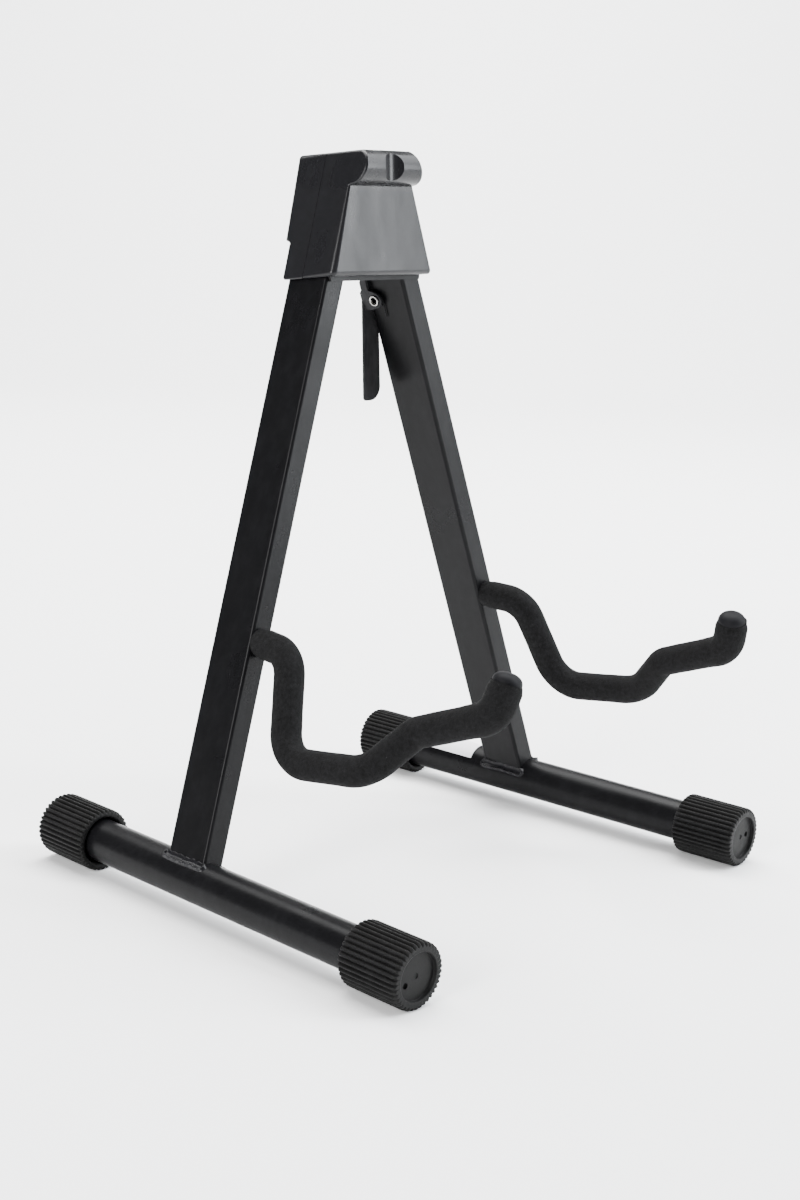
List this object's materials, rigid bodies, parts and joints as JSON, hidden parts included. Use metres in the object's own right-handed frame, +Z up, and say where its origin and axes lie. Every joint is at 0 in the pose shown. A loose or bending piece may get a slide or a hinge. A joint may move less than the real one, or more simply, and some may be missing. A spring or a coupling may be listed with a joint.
{
  "type": "guitar stand",
  "caption": "Folding A-frame guitar stand with hinged steel legs, foam covered yoke arms, a moulded head, a release lever and ribbed rubber feet.",
  "frame": {"origin": "centre of the bounding box, on the floor under the stand", "axes": "+X to the stand's right seen from the front, +Y to its back, +Z up"},
  "size_m": [0.3442, 0.31, 0.4212],
  "materials": {
    "frame_paint": "satin",
    "bracket_paint": "satin",
    "lever_paint": "satin",
    "head_plastic": "satin",
    "tip_plastic": "satin",
    "cap_rubber": "matte",
    "yoke_foam": "matte",
    "rod_steel": "satin",
    "rivet_steel": "satin"
  },
  "bodies": {
    "head": {"head_front_cover": "head_plastic", "head_rear_cover": "head_plastic", "head_bracket": "bracket_paint", "cover_screw_1": "rod_steel", "cover_screw_2": "rod_steel", "left_pivot_bolt": "rod_steel", "left_pivot_nut": "rod_steel", "right_pivot_bolt": "rod_steel", "right_pivot_nut": "rod_steel"},
    "left_leg": {"left_leg": "frame_paint", "left_pivot_sleeve": "rod_steel", "left_foot_tube": "frame_paint", "left_front_foot_cap": "cap_rubber", "left_rear_foot_cap": "cap_rubber", "left_outer_weld": "frame_paint", "left_inner_weld": "frame_paint", "left_yoke_rod": "rod_steel", "left_foam_sleeve": "yoke_foam", "left_tip_cap": "tip_plastic"},
    "right_leg": {"right_leg": "frame_paint", "right_pivot_sleeve": "rod_steel", "right_foot_tube": "frame_paint", "right_front_foot_cap": "cap_rubber", "right_rear_foot_cap": "cap_rubber", "right_outer_weld": "frame_paint", "right_inner_weld": "frame_paint", "right_yoke_rod": "rod_steel", "right_foam_sleeve": "yoke_foam", "right_tip_cap": "tip_plastic", "lever_rivet": "rivet_steel", "lever_spacer": "tip_plastic", "lever_spring": "rod_steel"},
    "release_lever": {"release_lever": "lever_paint"}
  },
  "joints": [
    {"name": "left_leg_fold", "type": "hinge", "parent": "head", "child": "left_leg", "pos_m": [-0.01432, 0.06875, 0.39994], "axis": [0, -0.9962, 0.0872], "range_deg": [0, 17.5]},
    {"name": "right_leg_fold", "type": "hinge", "parent": "head", "child": "right_leg", "pos_m": [0.01432, 0.06875, 0.39994], "axis": [0, 0.9962, -0.0872], "range_deg": [0, 17.5]},
    {"name": "release_lever_pull", "type": "hinge", "parent": "right_leg", "child": "release_lever", "pos_m": [0.02899, 0.071, 0.33385], "axis": [0.9455, 0.0284, 0.3243], "range_deg": [0, 12], "stiffness_Nm_per_rad": 0.15, "springref_deg": -11.46}
  ]
}
